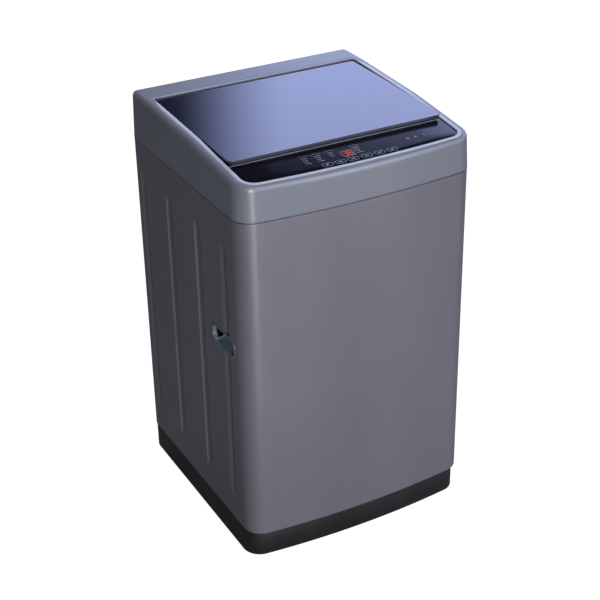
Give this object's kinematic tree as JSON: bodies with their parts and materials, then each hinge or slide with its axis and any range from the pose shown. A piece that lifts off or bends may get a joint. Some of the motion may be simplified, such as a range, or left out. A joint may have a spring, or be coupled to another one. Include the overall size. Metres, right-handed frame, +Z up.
{
  "type": "top load washing machine",
  "caption": "Top load washing machine with a hinged glass lid, sloping touch console, hanging tub, perforated basket, pulsator and belt drive.",
  "frame": {"origin": "on the floor under the middle of the cabinet, half way between its bowed front and its back", "axes": "+Z up, +X to the right seen from the front, the front faces -Y"},
  "size_m": [0.5424, 0.541, 0.926],
  "materials": {
    "cabinet_paint": "satin",
    "frame_plastic": "satin",
    "base_plastic": "matte",
    "grip_plastic": "satin",
    "galvanised_steel": "satin",
    "rod_steel": "satin",
    "rubber": "matte",
    "console_gloss": "gloss",
    "display_red": "gloss",
    "trim_metal": "polished",
    "circuit_board": "satin",
    "white_plastic": "satin",
    "pulsator_plastic": "satin",
    "lid_glass": "gloss",
    "lid_plastic": "satin",
    "basket_steel": "satin",
    "cast_aluminium": "satin",
    "motor_paint": "satin",
    "black_plastic": "matte"
  },
  "bodies": {
    "cabinet": {"base_plinth": "base_plastic", "foot_rear_left": "rubber", "foot_rear_right": "rubber", "cabinet_wrap": "cabinet_paint", "side_grip_left": "grip_plastic", "side_grip_right": "grip_plastic", "rear_panel": "galvanised_steel", "rear_screws": "galvanised_steel", "cord_gland": "rubber", "top_frame": "frame_plastic", "control_panel": "console_gloss", "display_module": "display_red", "trim_strip": "trim_metal", "control_board": "circuit_board", "lid_bumpers": "rubber", "lid_switch": "white_plastic", "inlet_valve": "white_plastic", "water_box": "white_plastic", "level_sensor": "white_plastic", "drain_spout": "white_plastic", "rod_bracket_front_left": "galvanised_steel", "rod_bracket_front_right": "galvanised_steel", "rod_bracket_rear_left": "galvanised_steel", "rod_bracket_rear_right": "galvanised_steel", "suspension_rod_front_left": "rod_steel", "suspension_rod_front_right": "rod_steel", "suspension_rod_rear_left": "rod_steel", "suspension_rod_rear_right": "rod_steel", "suspension_spring_front_left": "rod_steel", "suspension_spring_front_right": "rod_steel", "suspension_spring_rear_left": "rod_steel", "suspension_spring_rear_right": "rod_steel"},
    "front_foot_left": {"foot_front_left": "rubber"},
    "front_foot_right": {"foot_front_right": "rubber"},
    "lid": {"lid_glass": "lid_glass", "lid_frame": "lid_plastic"},
    "drawer": {"detergent_drawer": "white_plastic"},
    "tub": {"outer_tub": "white_plastic", "tub_cover": "white_plastic", "drive_plate": "galvanised_steel", "clutch_housing": "cast_aluminium", "drive_motor": "motor_paint", "run_capacitor": "black_plastic", "drain_valve": "black_plastic", "drain_actuator": "black_plastic", "drive_belt": "rubber"},
    "basket": {"wash_basket": "basket_steel", "balance_ring": "pulsator_plastic", "basket_base": "white_plastic", "lint_filter_1": "white_plastic", "lint_filter_2": "white_plastic", "spin_hub": "cast_aluminium"},
    "pulsator": {"pulsator": "pulsator_plastic", "pulsator_cap": "pulsator_plastic", "pulsator_shaft": "rod_steel", "driven_pulley": "cast_aluminium"},
    "motor_rotor": {"motor_pulley": "cast_aluminium", "motor_shaft": "rod_steel"},
    "drain_pull": {"pull_rod": "rod_steel"},
    "clutch_arm": {"clutch_lever": "rod_steel"}
  },
  "joints": [
    {"name": "lid_hinge", "type": "hinge", "parent": "cabinet", "child": "lid", "pos_m": [0, 0.18, 0.9135], "axis": [-1, 0, 0], "range_deg": [0, 95]},
    {"name": "drawer_slide", "type": "slide", "parent": "cabinet", "child": "drawer", "axis": [0, -1, 0], "range_m": [0, 0.06]},
    {"name": "front_foot_left_turn", "type": "slide", "parent": "cabinet", "child": "front_foot_left", "axis": [0, 0, -1], "range_m": [-0.0018, 0.01]},
    {"name": "front_foot_right_turn", "type": "slide", "parent": "cabinet", "child": "front_foot_right", "axis": [0, 0, -1], "range_m": [-0.0018, 0.01]},
    {"name": "tub_bounce", "type": "slide", "parent": "cabinet", "child": "tub", "axis": [0, 0, 1], "range_m": [-0.014, 0.01], "stiffness_N_per_m": 12000, "springref_m": 0.01892, "deforming": ["suspension_spring_front_left", "suspension_spring_front_right", "suspension_spring_rear_left", "suspension_spring_rear_right"]},
    {"name": "basket_spin", "type": "hinge", "parent": "tub", "child": "basket", "pos_m": [0, 0, 0.5], "axis": [0, 0, 1], "continuous": true},
    {"name": "pulsator_spin", "type": "hinge", "parent": "tub", "child": "pulsator", "pos_m": [0, 0, 0.25], "axis": [0, 0, 1], "continuous": true},
    {"name": "motor_spin", "type": "hinge", "parent": "tub", "child": "motor_rotor", "pos_m": [0.135, 0, 0.105], "axis": [0, 0, 1], "continuous": true},
    {"name": "drain_pull_slide", "type": "slide", "parent": "tub", "child": "drain_pull", "axis": [1, 0, 0], "range_m": [0, 0.012], "stiffness_N_per_m": 600},
    {"name": "clutch_throw", "type": "hinge", "parent": "tub", "child": "clutch_arm", "pos_m": [-0.0225, -0.082, 0.172], "axis": [0, 0, 1], "range_deg": [0, 10.6]}
  ],
  "couplings": [
    {"joint": "motor_spin", "follows": "pulsator_spin", "ratio": 2.9565},
    {"joint": "clutch_throw", "follows": "drain_pull_slide", "rad_per_m": 15.2}
  ]
}
